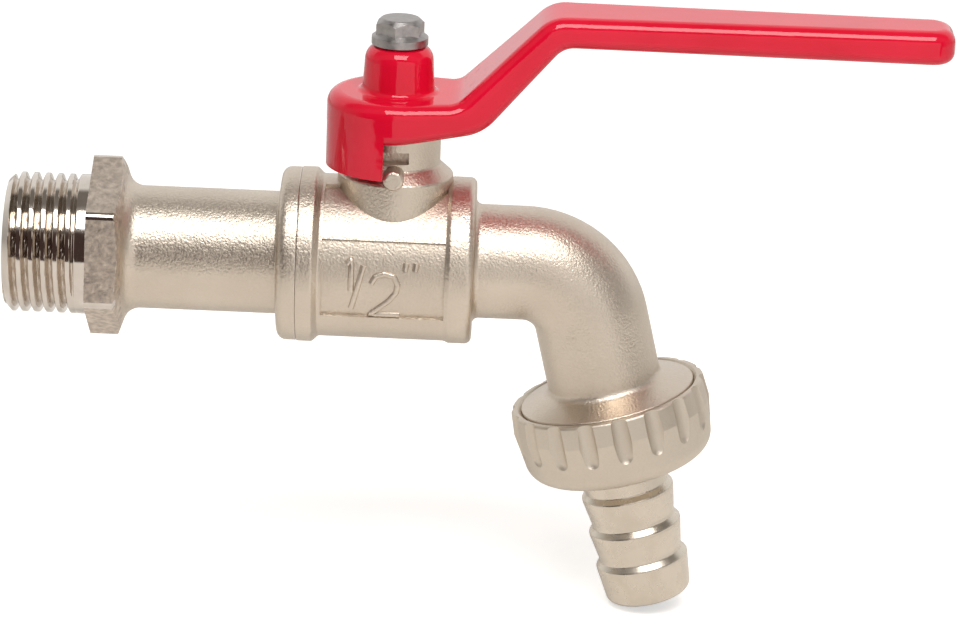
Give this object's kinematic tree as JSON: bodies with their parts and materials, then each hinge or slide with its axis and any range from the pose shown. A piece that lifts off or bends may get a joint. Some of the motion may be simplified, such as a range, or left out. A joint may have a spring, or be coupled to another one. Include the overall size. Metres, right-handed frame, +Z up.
{
  "type": "ball valve with hose tail",
  "caption": "Garden tap with a male inlet thread, a lever-turned ball valve, a bent spout, and a union nut that holds a barbed hose tail.",
  "frame": {"origin": "centre of the hexagon's face on the inlet side, on the inlet axis", "axes": "+X along the flow from the inlet to the spout, +Z up along the stem, -Y to the front"},
  "size_m": [0.1393, 0.03, 0.0924],
  "materials": {
    "nickel_forged": "nickel plated brass, fine blasted forging grain",
    "nickel_turned": "nickel plated brass, bright turned",
    "nickel_nut": "nickel plated brass, satin",
    "red_paint": "cast aluminium under thick glossy red paint",
    "zinc_steel": "dull zinc plated steel",
    "chrome_ball": "polished chrome plated brass",
    "stem_brass": "bare turned brass",
    "ptfe": "white PTFE",
    "black_rubber": "black nitrile rubber"
  },
  "bodies": {
    "valve_body": {"valve_body": "nickel_forged", "inlet_connector": "nickel_forged", "inlet_seat": "ptfe", "outlet_seat": "ptfe"},
    "lever": {"lever_handle": "red_paint", "handle_screw": "zinc_steel", "stem": "stem_brass", "ball": "chrome_ball", "stem_thrust_washer": "ptfe", "stem_lower_o_ring": "black_rubber", "stem_upper_o_ring": "black_rubber"},
    "hose_tail": {"hose_tail": "nickel_turned", "tail_gasket": "black_rubber"},
    "union_nut": {"union_nut": "nickel_nut"}
  },
  "joints": [
    {"name": "lever_turn", "type": "hinge", "parent": "valve_body", "child": "lever", "pos_m": [0.0451, 0, 0], "axis": [0, 0, 1], "range_deg": [-90, 0]},
    {"name": "tail_slide", "type": "slide", "parent": "valve_body", "child": "hose_tail", "axis": [0.2402, 0, -0.9707], "range_m": [0, 0.00636]},
    {"name": "nut_turn", "type": "hinge", "parent": "hose_tail", "child": "union_nut", "pos_m": [0.0781, 0, -0.0198], "axis": [0.2402, 0, -0.9707], "range_deg": [0, 1260]}
  ],
  "couplings": [
    {"joint": "tail_slide", "follows": "nut_turn", "m_per_rad": 0.00028875}
  ]
}
